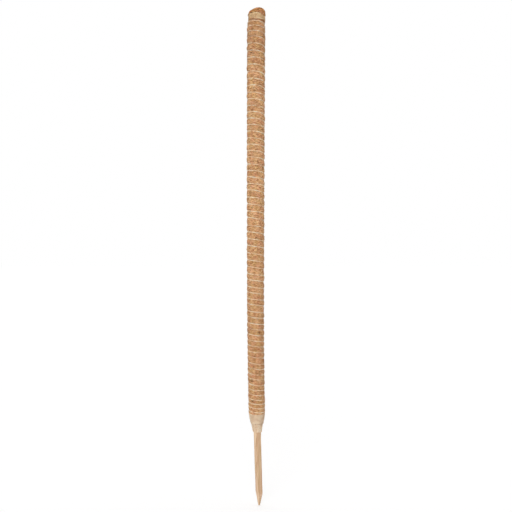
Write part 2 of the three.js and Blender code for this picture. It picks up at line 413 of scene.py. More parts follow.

# %% [markdown]
# The stake is a sawn stick of softwood, planed only roughly. Its grain runs along it: fine dark lines, wider
# bands, and redder or yellower streaks. All are noise drawn out along the pole, at different widths. The two
# faces on the right are tinted darker as painted shade, for the side turned away from the light; they could
# have a material of their own, but a number kept on each point of the mesh tells the one material where they
# are. The stick is soiled a little lower down. The point was cut later, so the wood there is paler.

# %% Finish of the wood
CUT_HIGH_Z = -143.5 * MM
CUT_LOW_Z = -151 * MM
DARK_LINE = (180, 137, 98)
SAWN = (235, 200, 162)
PALE_LINE = (249, 221, 187)
SHADED_FACE = (190, 146, 106)
SHADED_FACE_SHARE = 0.36
SOILED = (150, 108, 74)
SOILED_SHARE = 0.16
SOILED_Z = (-105 * MM, -25 * MM)
FRESH_WOOD = (236, 204, 171)
FRESH_SHARE = 0.6
FRESH_ON_PALE = 1.4
FRESH_ON_SHADED_FACE = 0.5


def wood_finish():
    finish, tree, shader = new_finish("stake_pine")
    lines = patches(tree, across=0.8 * MM, drawn_out=60, detail=4)
    bands = patches(tree, across=3.2 * MM, drawn_out=34, detail=2)
    grain = between(tree, bands, lines, share=0.45)
    wood = tones(tree, grain, (0.39, 0.5, 0.6), DARK_LINE, SAWN, PALE_LINE)
    kept = add_node(tree, "Attribute")
    kept.attribute_name = "painted_shade_and_marks"
    shade_and_marks = kept.outputs["Fac"]
    # Painted shade: where the number kept on the points is high, on the two faces to the right, the wood is
    # tinted darker, as on the side turned from the light.
    wood = tinted(tree, wood, SHADED_FACE, worked(tree, "MULTIPLY", shade_and_marks, SHADED_FACE_SHARE))
    z = axes_of(tree)["Z"]
    wood = tinted(tree, wood, SOILED, spread(tree, z, SOILED_SHARE, 0.0, *SOILED_Z))
    fresh = spread(tree, z, FRESH_SHARE, 0.0, CUT_LOW_Z, CUT_HIGH_Z)
    fresh = worked(tree, "MULTIPLY", fresh, spread(tree, shade_and_marks, FRESH_ON_PALE, FRESH_ON_SHADED_FACE, 0, 1))
    wood = tinted(tree, wood, FRESH_WOOD, fresh)
    wood = drifting(tree, wood, drift=0.014, across=3 * MM, drawn_out=20)
    surface(tree, shader, wood, shine=0.3, height=lines, depth=0.12 * MM, rough=(0.85, 0.6))
    return finish


STAKE_WOOD = wood_finish()
print("wood finish made")

# %% [markdown]
# The stake is square with eased edges, turned so that one edge faces the front. Its point was cut
# with four strokes, not all begun at the same height: the two on the left start higher, which also leaves
# the tip a little to the left. A boolean cut would do this, but each cut only draws one face of the section
# in towards the tip, so the section is scaled on the side of each face instead, and the facets stay flat.
# The number for the painted shade is also raised in a strip near the right edge, which darkens it there, and
# lowered at a pale spot in the point.

# %% Stake
STAKE_HALF = 6.3 * MM
STAKE_EDGE_R = 1.2 * MM
STAKE_TURN = math.radians(39)
SLIM_Z = np.array([-143, -118, -98, -15, -4]) * MM
SLIM = [0.99, 0.97, 1.01, 1.02, 1.06]
STAKE_WORN = 0.006
WORN_SIZE = 9 * MM
TIP_HALF = 1.6 * MM
TIP_LEAN = 1.2 * MM
SECTION_POINTS = 88
STAKE_ROW = 1.4 * MM
STAKE_SHOWN_Z = 30 * MM
STAKE_TOP_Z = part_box("stake")[1].z
HIDDEN_ROWS = 12
SHADE_BORDER = 0.05
DARK_STRIP = 0.9
DARK_STRIP_AT = math.radians(315)
DARK_STRIP_WIDTH = math.radians(13)
DARK_STRIP_LOW_Z = -158 * MM
DARK_STRIP_UNEVEN = 0.5
DARK_STRIP_SIZE = 14 * MM
PALE_SPOT = 1.8
PALE_SPOT_AT = math.radians(284)
PALE_SPOT_WIDTH = math.radians(14)
PALE_SPOT_Z = -152.5 * MM
PALE_SPOT_HALF = 2.2 * MM


def stake_reach(angle):
    """Distance from the middle of the stake to its side in a direction."""
    quarter = math.pi / 2
    off = np.abs((angle - STAKE_TURN + quarter / 2) % quarter - quarter / 2)
    edge_at = STAKE_HALF - STAKE_EDGE_R
    edge_way = edge_at * (np.cos(off) + np.sin(off))
    edge = edge_way + np.sqrt(np.maximum(STAKE_EDGE_R ** 2 - 2 * edge_at ** 2 + edge_way ** 2, 0))
    return np.where(STAKE_HALF * np.tan(off) <= edge_at, STAKE_HALF / np.cos(off), edge)


def cut_share(z, cut_z):
    """How far a cut has gone at a height: nought where it starts and one at the tip."""
    return np.clip((cut_z - z) / (cut_z - TIP_Z), 0, 1)


def cut_in(distance, z, started_low):
    """A distance from the middle, drawn in towards the tip by the low or the high cut."""
    cut = np.where(started_low, cut_share(z, CUT_LOW_Z), cut_share(z, CUT_HIGH_Z))
    return distance * (1 - (1 - TIP_HALF / STAKE_HALF) * cut)


shown = np.linspace(TIP_Z, STAKE_SHOWN_Z, round((STAKE_SHOWN_Z - TIP_Z) / STAKE_ROW))
hidden = np.linspace(STAKE_SHOWN_Z, STAKE_TOP_Z, HIDDEN_ROWS)[1:]
stake_z = np.concatenate([shown, hidden])[:, None]
section = evenly_round(SECTION_POINTS)
worn = 1 + STAKE_WORN * lumps(section, stake_z, WORN_SIZE, 91)
reach = stake_reach(section + STAKE_TURN) * np.interp(stake_z, SLIM_Z, SLIM) * worn
across = cut_in(reach * np.cos(section), stake_z, np.cos(section) > 0)
deep = cut_in(reach * np.sin(section), stake_z, np.sin(section) < 0)
stake_points = around(np.arctan2(deep, across) + STAKE_TURN, stake_z, np.hypot(across, deep))
stake_points[..., 0] -= TIP_LEAN * cut_share(stake_z, CUT_HIGH_Z)
stake = add_grid("stake_stick", stake_points, STAKE_WOOD, "stake_wood", "stake", strips=2)
# Through the same number, a strip near the right edge is made darker, and a spot in the point paler.
dark_strip = bell(section - DARK_STRIP_AT, DARK_STRIP_WIDTH) * (stake_z > DARK_STRIP_LOW_Z)
dark_strip = dark_strip * (1 + DARK_STRIP_UNEVEN * lumps(0.0, stake_z, DARK_STRIP_SIZE, 92))
pale_spot = bell(section - PALE_SPOT_AT, PALE_SPOT_WIDTH) * bell(stake_z - PALE_SPOT_Z, PALE_SPOT_HALF)
# Painted shade: the number is one on the two faces to the right, the side turned from the light.
shade_and_marks = ease(np.cos(section + BACK / 2), -SHADE_BORDER, SHADE_BORDER) + DARK_STRIP * dark_strip - PALE_SPOT * pale_spot
stake.data.attributes.new("painted_shade_and_marks", "FLOAT", "POINT").data.foreach_set("value", shade_and_marks.ravel())

# %% [markdown]
# The binding twine climbs the body in sixty-four turns, closer together at both ends, where the maker tied
# it off. It starts behind and runs clockwise seen from above, so on the front each turn falls to the right.
# A screw modifier gives only one pitch; here the heights are added up step by step from runs of turns, and
# wander a little, as a hand-wound twine does.

# %% The climb of the binding twine
BINDING_LOW_Z = 46.9 * MM
BINDING_RUNS = [
    # turns, first pitch and last pitch in millimetres
    (0.5, 5.8, 5.8),
    (3, 9.8, 9.8),
    (5, 11.5, 12.7),
    (9, 13.25, 13.6),
    (8, 14.45, 14.8),
    (12, 16.65, 16.65),
    (8, 15.65, 15.65),
    (7, 15.4, 15.4),
    (8, 16.65, 16.65),
    (3, 13.8, 11.1),
    (0.5, 6, 6),
]
STEPS_PER_TURN = 100
WANDER = 0.4 * MM
WANDER_WAVES = 9
WANDER_TURNS = (1.6, 6.0)

pitches = [np.linspace(low, high, round(turns * STEPS_PER_TURN)) for turns, low, high in BINDING_RUNS]
binding_z = BINDING_LOW_Z + MM * np.concatenate([[0], np.cumsum(np.concatenate(pitches))]) / STEPS_PER_TURN
binding_turn = np.arange(binding_z.size) / STEPS_PER_TURN
TURNS = binding_turn[-1]

hand = np.random.default_rng(11)
for _ in range(WANDER_WAVES):
    wave = FULL_TURN * binding_turn / hand.uniform(*WANDER_TURNS) + hand.uniform(0, FULL_TURN)
    fade = np.minimum(1, np.minimum(binding_turn, TURNS - binding_turn) / 2)
    binding_z += fade * WANDER * math.sqrt(2 / WANDER_WAVES) * np.cos(wave)
binding_pitch = np.gradient(binding_z, binding_turn)
print(f"binding: {TURNS:.0f} turns up to {1000 * binding_z[-1]:.0f} mm")

# %% [markdown]
# Now the shape of the coir mat. Every turn of twine presses a groove into it, and between two turns the
# coir swells up like a pillow. The lower end is drawn in to a cone and the upper end to a neck. All of this
# is one function that gives the mat's radius at any angle and height, which the mat, its fibres and the
# twine all use, so they always fit each other.

# %% Surface of the coir mat
TAIL_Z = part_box("coir_mat")[0].z
NECK_TOP_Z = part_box("coir_mat")[1].z
SHOULDER_Z = 45.6 * MM
NECK_Z = 984.8 * MM
NECK_TILT = 1.5 * MM
CREST_Z = [SHOULDER_Z, 440 * MM, 966.8 * MM, NECK_Z]
CREST_R = [19.3 * MM, 20.5 * MM, 21.7 * MM, 20.2 * MM]
TAIL_R = 10.9 * MM
SHOULDER_R = 16.4 * MM
SHOULDER_EASE = (-3.5 * MM, -0.5 * MM)
NECK_R = 17.0 * MM
NECK_EASE = (-3 * MM, 0.5 * MM)
NECK_BULGE = 3.0 * MM
BULGE_FROM = -0.4
MAT_BULGE_SHARE = 0.75
GROOVE_DEPTH = 2.5 * MM
GROOVE_PER_PITCH = 0.2
PILLOW = 3.6
LUMP = 0.31 * MM
LUMP_SIZE = 11 * MM
TUFT = 0.23 * MM
TUFT_SIZE = 3.2 * MM
PRESSED_SHARE = 0.35


def neck_bulge(angle):
    """How far the cap's coir, caught under the lashing, swells the neck on the right."""
    return NECK_BULGE * ease(np.cos(angle), BULGE_FROM, 1.0)


def mat_radius(angle, z):
    """Radius of the mat, least under the nearest turn of twine and most half a turn away from it."""
    turn = np.interp(z, binding_z, binding_turn) - (BACK - angle) / FULL_TURN
    swell = 1 - (1 - 2 * np.abs(turn - np.round(turn))) ** PILLOW
    groove = np.minimum(GROOVE_DEPTH, GROOVE_PER_PITCH * np.interp(z, binding_z, binding_pitch))
    body = np.interp(z, CREST_Z, CREST_R) - groove * (1 - swell)
    cone = np.interp(z, [TAIL_Z, SHOULDER_Z], [TAIL_R, SHOULDER_R])
    on_body = ease(z - SHOULDER_Z, *SHOULDER_EASE)
    on_neck = ease(z - NECK_Z - NECK_TILT * (1 + np.sin(angle)), *NECK_EASE)
    smooth = cone + (body - cone) * on_body
    smooth = smooth + (NECK_R + MAT_BULGE_SHARE * neck_bulge(angle) - smooth) * on_neck
    lump = LUMP * lumps(angle, z, LUMP_SIZE, 24) + TUFT * lumps(angle, z, TUFT_SIZE, 22)
    return smooth + lump * (PRESSED_SHARE + (1 - PRESSED_SHARE) * swell) * on_body * (1 - on_neck)


print(f"mat: {2000 * float(mat_radius(0.0, 0.5)):.1f} mm across at half height")

# %% [markdown]
# Coir has no single colour: each strand has its own tone between straw and chestnut, whole locks of it are
# paler or redder than their neighbours, and specks of husk are dark. One function makes these finishes. The
# locks lie round the pole, so they are noise drawn out on its unrolled surface. Strands also take a random
# number that Blender gives to every separate island of a mesh. The mat under them shows fibres too fine to
# model, as finer noise drawn out in a few directions. Towards both ends the coir is duller, but not next to
# the cone; a tint that depends on the height does this, with no second material.

# %% Finish of the coir
FIBRE = 0.4 * MM
FIBRE_DRAWN_OUT = 14
FIBRE_SLANTS = [math.radians(slant) for slant in (-27, 6, 34)]
FIBRE_SPREAD = (0.42, 0.74)
LOCK = 0.95 * MM
LOCK_DRAWN_OUT = 8
LOCK_SLANT = math.radians(-4)
LOCK_SPREAD = (0.38, 0.62)
STRAND_SHARE = 0.4
HUSK = (112, 70, 38)
HUSK_SIZE = 2.4 * MM
HUSK_SHARE = 0.6
HUSK_SPREAD = (0.6, 0.67)
DULL = (160, 92, 44)
DULL_TOP_SHARE = 0.25
DULL_TOP_Z = (815 * MM, 965 * MM)
DULL_LOW_SHARE = 0.2
DULL_LOW_Z = (200 * MM, 550 * MM)
CLEAN_Z = (35 * MM, 75 * MM)


def lines_round(tree, across, drawn_out, slant):
    """Soft lines of a width in metres on the unrolled surface, drawn out at a slant round the pole."""
    axes = axes_of(tree)
    turn = worked(tree, "ARCTAN2", axes["X"], worked(tree, "MULTIPLY", axes["Y"], -1.0))
    unrolled = add_node(tree, "CombineXYZ", X=worked(tree, "MULTIPLY", turn, BODY_R), Y=axes["Z"])
    lay = add_node(tree, "Mapping", Vector=unrolled.outputs["Vector"])
    lay.vector_type = "TEXTURE"
    feed(tree, lay, {"Rotation": (0, 0, slant), "Scale": (drawn_out, 1, 1)})
    noise = add_node(tree, "TexNoise", Vector=lay.outputs["Vector"], Scale=1 / across)
    noise.noise_dimensions = "2D"
    return noise.outputs["Fac"]


def fibres(tree):
    """Fine lines in several directions, the brightest on top."""
    top, *others = [lines_round(tree, FIBRE, FIBRE_DRAWN_OUT, slant) for slant in FIBRE_SLANTS]
    for lines in others:
        top = worked(tree, "MAXIMUM", top, lines)
    return spread(tree, top, 0.0, 1.0, *FIBRE_SPREAD)


def dull_ends(tree, top_share, low_share):
    """How dull the pole is by height: up to these shares at both ends, but not next to the cone."""
    z = axes_of(tree)["Z"]
    top = spread(tree, z, 0.0, top_share, *DULL_TOP_Z)
    low = spread(tree, z, low_share, 0.0, *DULL_LOW_Z)
    above_cone = spread(tree, z, 0.0, 1.0, *CLEAN_Z)
    return worked(tree, "MAXIMUM", top, worked(tree, "MULTIPLY", low, above_cone))


def coir_finish(name, *colours, by_strand=True):
    """Coir in a dark, a middle and a pale colour, which vary from strand to strand or along fine fibres."""
    finish, tree, shader = new_finish(name)
    locks = spread(tree, lines_round(tree, LOCK, LOCK_DRAWN_OUT, LOCK_SLANT), 0.0, 1.0, *LOCK_SPREAD)
    shade = between(tree, locks, spread(tree, patches(tree, across=24 * MM), 0.0, 1.0), share=0.25)
    if by_strand:
        height = patches(tree, across=0.5 * MM)
        own = add_node(tree, "NewGeometry").outputs["Random Per Island"]
    else:
        height = fibres(tree)
        own = height
    shade = between(tree, shade, own, STRAND_SHARE)
    colour = tones(tree, shade, (0.27, 0.5, 0.73), *colours)
    husk = spread(tree, patches(tree, HUSK_SIZE), 0.0, HUSK_SHARE, *HUSK_SPREAD)
    colour = tinted(tree, colour, HUSK, husk)
    colour = tinted(tree, colour, DULL, dull_ends(tree, DULL_TOP_SHARE, DULL_LOW_SHARE))
    colour = drifting(tree, colour, drift=0.012, across=11 * MM)
    surface(tree, shader, colour, shine=0.25, height=height, depth=0.25 * MM, rough=(0.95, 0.7))
    return finish


COIR_MAT = coir_finish("coir_under", (160, 104, 57), (228, 172, 120), (254, 209, 160), by_strand=False)
COIR_TAN = coir_finish("coir_tan", (194, 134, 83), (249, 199, 146), (255, 226, 180))
COIR_STRAW = coir_finish("coir_straw", (222, 174, 122), (253, 216, 170), (255, 240, 205))
COIR_CHESTNUT = coir_finish("coir_chestnut", (118, 66, 30), (194, 132, 80), (233, 173, 119))
COIR_DARK = coir_finish("coir_dark", (88, 50, 22), (136, 84, 44), (176, 120, 74))
print("coir finishes made")

# %% [markdown]
# The mat itself is a thick tube. Its outside follows the surface above with a row of points every
# millimetre or so, so that the grooves are real shape and not paint. Inside it has the bore that holds the
# wadding. Cloth simulation would suit a sewn cushion, but this mat is held by the twine all along, so its
# swelling is known from the pitch and is shaped directly.

# %% Coir mat
MAT_COLUMNS = 96
MAT_ROW = 1.2 * MM
WADDING_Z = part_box("coir_wadding")[0].z
WADDING_R = 13.6 * MM
GAP = 0.35 * MM
BORE_R = 9.1 * MM
BORE_TAPER = 4 * MM

mat_angles = evenly_round(MAT_COLUMNS)
mat_rows = np.linspace(TAIL_Z, NECK_TOP_Z, round((NECK_TOP_Z - TAIL_Z) / MAT_ROW))[:, None]
mat_outside = around(mat_angles, mat_rows, mat_radius(mat_angles, mat_rows))
bore_z = np.array([NECK_TOP_Z, STRAIGHT_Z, WADDING_Z - GAP, WADDING_Z - BORE_TAPER, TAIL_Z])[:, None]
bore_r = np.where(bore_z > WADDING_Z - BORE_TAPER, WADDING_R + GAP, BORE_R)
mat_points = np.concatenate([mat_outside, around(mat_angles, bore_z, bore_r)])
coir_mat = add_grid("coir_mat_body", mat_points, COIR_MAT, "coir", "coir_mat", closed=True, strips=3)

# %% [markdown]
# Under the mat lies the wadding, loose coir rolled round the stake. Nobody sees it, yet it fills the pole
# on the bench, so it is a plain lumpy tube with a bore for the stake.

# %% Wadding
WADDING_COLUMNS = 40
WADDING_ROWS = 160
WADDING_LUMP_SIZE = 8 * MM

wad_angles = evenly_round(WADDING_COLUMNS)
wad_rows = np.linspace(WADDING_Z, NECK_TOP_Z, WADDING_ROWS)[:, None]
wad_r = WADDING_R - TUFT * np.abs(lumps(wad_angles, wad_rows, WADDING_LUMP_SIZE, 31))
wad_points = [around(wad_angles, wad_rows, wad_r), around(wad_angles, wad_rows[::-1], BORE_R)]
wad_points = np.concatenate(wad_points)
wadding = add_grid("wadding_roll", wad_points, COIR_MAT, "coir", "coir_wadding", closed=True, strips=4)

# %% [markdown]
# Strands and twine are both tubes along a path. A curve with a bevel would also give them, one object for
# each strand, but thousands of objects are slow. These helpers make any number of tubes as one mesh: they
# walk along every path with three directions (along, outwards and sideways) and place each section.

# %% Helpers for tubes
STRAND_SIDES = 3
STRAND_BLUNT = 0.3


def unit(vectors):
    return vectors / np.linalg.norm(vectors, axis=-1, keepdims=True)


def tubes(paths, outward, radii, twist=0.0):
    """Points and faces of tubes: one radius for every corner of every section of every path."""
    along = unit(np.gradient(paths, axis=1))
    sideways = unit(np.cross(along, outward))
    upright = np.cross(sideways, along)
    turn = (evenly_round(radii.shape[2]) + twist)[..., None]
    rim = np.cos(turn) * upright[:, :, None] + np.sin(turn) * sideways[:, :, None]
    points = paths[:, :, None] + radii[..., None] * rim
    corners = np.arange(radii.size).reshape(radii.shape)
    faces = wall_faces(corners) + corners[:, 0, ::-1].tolist() + corners[:, -1].tolist()
    return points, faces


def add_strands(name, paths, outward, draw, widths, finish, slot):
    """Strands that taper to both ends, each as thick as chance gives it between two widths."""
    count, steps = paths.shape[:2]
    taper = np.sqrt(np.sin(np.linspace(STRAND_BLUNT, math.pi - STRAND_BLUNT, steps)))
    radii = draw.uniform(*widths, (count, 1, 1)) * taper[:, None]
    points, faces = tubes(paths, outward, np.repeat(radii, STRAND_SIDES, axis=2))
    strands = add_piece(name, points, faces, finish, slot)
    lay_out(strands, count, steps, STRAND_SIDES, 1)


def strands_round(name, angle, z, radius, draw, widths, finish, slot="coir"):
    """Strands whose points are given round the middle line."""
    add_strands(name, around(angle, z, radius), away(angle), draw, widths, finish, slot)


print("tube helpers ready")

# %% [markdown]
# The coir shows as thousands of strands that lie on the mat, mostly round it, since it was wrapped that way.
# Blender's hair would draw them, but hair is not kept when a model is exported, so they are thin meshes with
# three sides. Each strand wanders over the surface, dips under it at both ends and runs down into the
# grooves, under the twine.

# %% Strands on the mat
STRAND_STEPS = 7
STRAND_REACH = 1.5 * MM
STRAND_DIP = 0.35 * MM
LIFTED = (0.1, 1.0)
CURVE = 0.7
WAVE = 0.35
WAVES = (4, 9)
WAVE_STARTS = (0, 6)
COARSE = (0.16 * MM, 0.34 * MM)
MEDIUM = (0.14 * MM, 0.3 * MM)
LIGHT = (0.12 * MM, 0.26 * MM)
FINE = (0.06 * MM, 0.13 * MM)
FINEST = (0.06 * MM, 0.12 * MM)
BOW = np.sin(np.linspace(0, math.pi, STRAND_STEPS))


def wandering(draw, count, lengths, slant):
    """Steps round and up for strands that curve, at a slant that differs from strand to strand."""
    column = (count, 1)
    step = draw.uniform(*lengths, column) / STRAND_STEPS
    share = np.linspace(-0.5, 0.5, STRAND_STEPS)
    heading = draw.normal(0, slant, column) + draw.normal(0, CURVE, column) * share
    wave = draw.uniform(*WAVES, column) * share + draw.uniform(*WAVE_STARTS, column)
    heading = heading + WAVE * np.cos(wave)
    return np.cumsum(step * np.cos(heading), axis=1), np.cumsum(step * np.sin(heading), axis=1)


def wandering_round(draw, count, lengths, slant):
    """Angles of strands that start anywhere round the pole, and how far they climb."""
    sideways, climb = wandering(draw, count, lengths, slant)
    return draw.uniform(0, FULL_TURN, (count, 1)) + sideways / BODY_R, climb


def strands_on_mat(name, seed, count, finish, widths, lift):
    draw = np.random.default_rng(seed)
    angle, climb = wandering_round(draw, count, lengths=(16 * MM, 46 * MM), slant=0.2)
    z = draw.uniform(SHOULDER_Z, NECK_Z, (count, 1)) + climb
    z = np.clip(z, SHOULDER_Z - STRAND_REACH, NECK_Z + STRAND_REACH)
    over = lift * draw.uniform(*LIFTED, (count, 1)) * BOW - STRAND_DIP * (1 - BOW ** 2) ** 4
    strands_round(name, angle, z, mat_radius(angle, z) + over, draw, widths, finish)


strands_on_mat("strands_tan", 41, 4200, COIR_TAN, COARSE, lift=0.45 * MM)
strands_on_mat("strands_straw", 42, 3200, COIR_STRAW, LIGHT, lift=0.55 * MM)
strands_on_mat("strands_chestnut", 43, 3000, COIR_CHESTNUT, MEDIUM, lift=0.45 * MM)
strands_on_mat("strands_fine_tan", 45, 2400, COIR_TAN, FINE, lift=0.7 * MM)
strands_on_mat("strands_fine_straw", 46, 2400, COIR_STRAW, FINEST, lift=0.8 * MM)

# %% [markdown]
# A few ends always stick out of coir and give its outline a fine fuzz. A bump in the finish can't change an
# outline, so they are modelled: they start in the mat and lean away from it, a few millimetres at most,
# because the twine holds the rest down.

# %% Loose ends
LOOSE_ENDS = 520
LOOSE_OUT = (0.8 * MM, 3.2 * MM)
LOOSE_CURL = 1.5
LOOSE_WIDTHS = (0.07 * MM, 0.13 * MM)

loose = np.random.default_rng(44)
loose_angle, loose_climb = wandering_round(loose, LOOSE_ENDS, lengths=(6 * MM, 15 * MM), slant=0.9)
loose_z = np.clip(loose.uniform(SHOULDER_Z, NECK_Z, (LOOSE_ENDS, 1)) + loose_climb, SHOULDER_Z, NECK_Z)
loose_out = loose.uniform(*LOOSE_OUT, (LOOSE_ENDS, 1)) * np.linspace(0, 1, STRAND_STEPS) ** LOOSE_CURL
loose_r = mat_radius(loose_angle, loose_z)
loose_r = np.maximum(loose_r, loose_r[:, :1]) + loose_out
strands_round("loose_ends", loose_angle, loose_z, loose_r, loose, LOOSE_WIDTHS, COIR_TAN)

# %% [markdown]
# Here and there a bit of dark husk was left in the coir, and shows as a fleck. The finish has specks too
# small to model; these larger ones are clumps of short dark strands. The five that are clear in front are
# placed one by one, and the back gets a few more by chance.

# %% Flecks of husk
FLECKS_IN_FRONT = [
    # to the right of the middle and above the soil, in millimetres, and the number of strands
    (-9, 77, 14),
    (-12, 125, 16),
    (9, 240, 20),
    (2, 465, 8),
    (-9, 905, 14),
]
FLECKS_BEHIND = 6
STRANDS_BEHIND = 14
FLECK_HALF_WIDE = 2.2 * MM
FLECK_HALF_HIGH = 1.0 * MM


def centred(steps):
    """Steps of each strand, moved so that their middle is at nought."""
    return steps - steps.mean(axis=1, keepdims=True)


def bowed(draw, count, rise, dip=STRAND_DIP):
    """Heights over a surface: raised in the middle of a strand, and dipping under it at both ends."""
    return draw.uniform(*rise, (count, 1)) * BOW - dip * (1 - BOW)


fleck = np.random.default_rng(93)
right, up, strands = np.array(FLECKS_IN_FRONT).T
strands = np.concatenate([strands, np.full(FLECKS_BEHIND, STRANDS_BEHIND)])
fleck_at = np.concatenate([-np.arccos(right * MM / BODY_R), fleck.uniform(0, math.pi, FLECKS_BEHIND)])
fleck_up = np.concatenate([up * MM, fleck.uniform(SHOULDER_Z, NECK_Z, FLECKS_BEHIND)])
count = strands.sum()
fleck_round, fleck_climb = wandering(fleck, count, lengths=(4 * MM, 9 * MM), slant=0.5)
fleck_round = centred(fleck_round) + fleck.normal(0, FLECK_HALF_WIDE, (count, 1))
fleck_climb = centred(fleck_climb) + fleck.normal(0, FLECK_HALF_HIGH, (count, 1))
fleck_angle = np.repeat(fleck_at, strands)[:, None] + fleck_round / BODY_R
fleck_z = np.repeat(fleck_up, strands)[:, None] + fleck_climb
fleck_r = mat_radius(fleck_angle, fleck_z) + bowed(fleck, count, rise=(0.4 * MM, 0.9 * MM))
strands_round("husk_flecks", fleck_angle, fleck_z, fleck_r, fleck, COARSE, COIR_DARK)

# %% [markdown]
# Twine is pale, fuzzy and never quite even: some stretches are creamy and others browner, and towards both
# ends it is tinted darker, like the coir. The lashing at both ends is the same kind of twine, a little
# greyer; the collar's copy is paler, as painted light that lifts it out of the shade under the cone. The
# fine bump stands for single fibres; the twist itself is modelled, in the next step.

# %% Finish of the twine
END_TINT = (190, 128, 70)


def twine_finish(name, *colours, top_tint=0.0, low_tint=0.0):
    """Twine in a dull, a middle and a pale colour, tinted darker by these shares at both ends."""
    finish, tree, shader = new_finish(name)
    stretches = patches(tree, across=12 * MM)
    shade = between(tree, stretches, patches(tree, across=3 * MM), share=0.35)
    colour = tones(tree, shade, (0.36, 0.5, 0.62), *colours)
    # Towards both ends the twine is tinted darker and browner.
    colour = tinted(tree, colour, END_TINT, dull_ends(tree, top_tint, low_tint))
    single_fibres = patches(tree, across=0.35 * MM)
    surface(tree, shader, colour, shine=0.2, height=single_fibres, depth=0.2 * MM, rough=(0.95, 0.75))
    return finish


PALE_TWINE = ((233, 193, 151), (255, 233, 198), (255, 248, 225))
TWINE = twine_finish("twine", *PALE_TWINE, top_tint=0.18, low_tint=0.2)
TIGHT_TWINE = twine_finish("twine_tight", (224, 194, 161), (239, 212, 182), (247, 226, 198))
# Painted light: a paler copy of the tight twine for the collar, which lifts it out of the shade under the
# cone.
COLLAR_TWINE_LIT = twine_finish("twine_collar_painted_light", (234, 202, 167), (251, 224, 193), (255, 238, 211))
NECK_TWINE = twine_finish("twine_neck", (210, 170, 122), (245, 215, 170), (253, 234, 197))
print("twine finishes made")

# %% [markdown]
# A twine is three yarns twisted together. Three separate tubes would show that, at three times the size of
# mesh; one tube with three lobes, whose sections turn with the twist, looks the same from outside. The
# binding twine lies in the groove that the mat's formula gives, and a taut twine bridges the small lumps, so
# its radius is a running mean.

# %% Binding twine
TWINE_R = 1.2 * MM
TWINE_SIDES = 12
TWINE_STEP = 1.35 * MM
TWIST = 8.5 * MM
LOBES = 3
LOBE_DEPTH = 0.3
SLUB = 0.05
SLUB_LENGTH = 9 * MM
UNEVEN = 0.03
BRIDGED = 7


def twine(name, path, outward, radius, finish, slot, *solids, seed=51):
    """Three-lobed twine along one path of evenly spaced points."""
    draw = np.random.default_rng(seed)
    length = np.concatenate([[0], np.cumsum(np.linalg.norm(np.diff(path, axis=0), axis=1))])[:, None]
    lobe = np.abs(np.cos(LOBES / 2 * evenly_round(TWINE_SIDES)))
    slub = 1 + SLUB * np.cos(length / SLUB_LENGTH + draw.uniform(*WAVE_STARTS))
    slub = slub + draw.normal(0, UNEVEN, length.shape)
    radii = radius * slub * (1 - LOBE_DEPTH * (1 - lobe))
    points, faces = tubes(path[None], outward[None], radii[None], FULL_TURN * length / TWIST)
    piece = add_piece(name, points, faces, finish, slot, *solids)
    total = float(length[-1, 0])
    lay_out(piece, 1, len(path), TWINE_SIDES, math.ceil(math.sqrt(total / (FULL_TURN * radius))))
    print(f"{name}: {total:.2f} m of twine")


def wound(turns_at, z_at, radius_at):
    """Path of a winding and the direction away from the pole at each of its points."""
    angle = BACK - FULL_TURN * turns_at
    return around(angle, z_at, radius_at), away(angle)


binding_at = np.linspace(0, TURNS, round(TURNS * FULL_TURN * BODY_R / TWINE_STEP))
binding_at_z = np.interp(binding_at, binding_turn, binding_z)
groove_r = np.pad(mat_radius(BACK - FULL_TURN * binding_at, binding_at_z), BRIDGED // 2, mode="edge")
binding_r = np.convolve(groove_r, np.full(BRIDGED, 1 / BRIDGED), mode="valid") + TWINE_R
binding_path, binding_outward = wound(binding_at, binding_at_z, binding_r)
twine("binding_cord", binding_path, binding_outward, TWINE_R, TWINE, "twine", "binding_twine")

# %% [markdown]
# Winding by hand never catches every strand: here and there a tuft lies across the twine and hides a little
# of it. Such a strand follows the mat, and a bell-shaped rise lifts it over the twine.

# %% Tufts over the twine
TUFTS = 170
TUFT_STRANDS = 4
TUFT_FREE_TURN = 0.5
TUFT_LENGTHS = (7 * MM, 16 * MM)
TUFT_SLANTS = (0.35, 1.1)
TUFT_FAN = 0.15
TUFT_SPREAD = 1.6 * MM
TUFT_RISE_WIDTH = 1.7 * MM

tuft = np.random.default_rng(47)
tuft_at = tuft.uniform(TUFT_FREE_TURN, TURNS - TUFT_FREE_TURN, TUFTS)
tuft_at = np.repeat(tuft_at, TUFT_STRANDS)[:, None]
tuft_slant = tuft.uniform(*TUFT_SLANTS, TUFTS) * tuft.choice([-1, 1], TUFTS)
tuft_heading = np.repeat(tuft_slant, TUFT_STRANDS)[:, None] + tuft.normal(0, TUFT_FAN, tuft_at.shape)
tuft_at = tuft_at + tuft.normal(0, TUFT_SPREAD, tuft_at.shape) / (FULL_TURN * BODY_R)
tuft_walk = tuft.uniform(*TUFT_LENGTHS, tuft_at.shape) * np.linspace(-0.5, 0.5, STRAND_STEPS)
tuft_climb = tuft_walk * np.sin(tuft_heading)
twine_angle = BACK - FULL_TURN * tuft_at
twine_z = np.interp(tuft_at, binding_turn, binding_z)
tuft_rise = np.interp(tuft_at, binding_at, binding_r) + TWINE_R - mat_radius(twine_angle, twine_z)
tuft_angle = twine_angle + tuft_walk * np.cos(tuft_heading) / BODY_R
tuft_z = twine_z + tuft_climb
tuft_r = mat_radius(tuft_angle, tuft_z) + tuft_rise * bell(tuft_climb, TUFT_RISE_WIDTH)
strands_round("tufts_over_twine", tuft_angle, tuft_z, tuft_r, tuft, MEDIUM, COIR_TAN)

# %% [markdown]
# At both ends the same kind of twine is wound tight, turn against turn: round the neck under the cap, over
# the drawn-in cone, and round the stake as a collar. Each winding has an outside that depends on the angle
# and the height, so the collar can hug the square stake low down and grow round higher up. The cone's first
# turn stands out over the collar, and the ends are tucked under the first and the last turn.

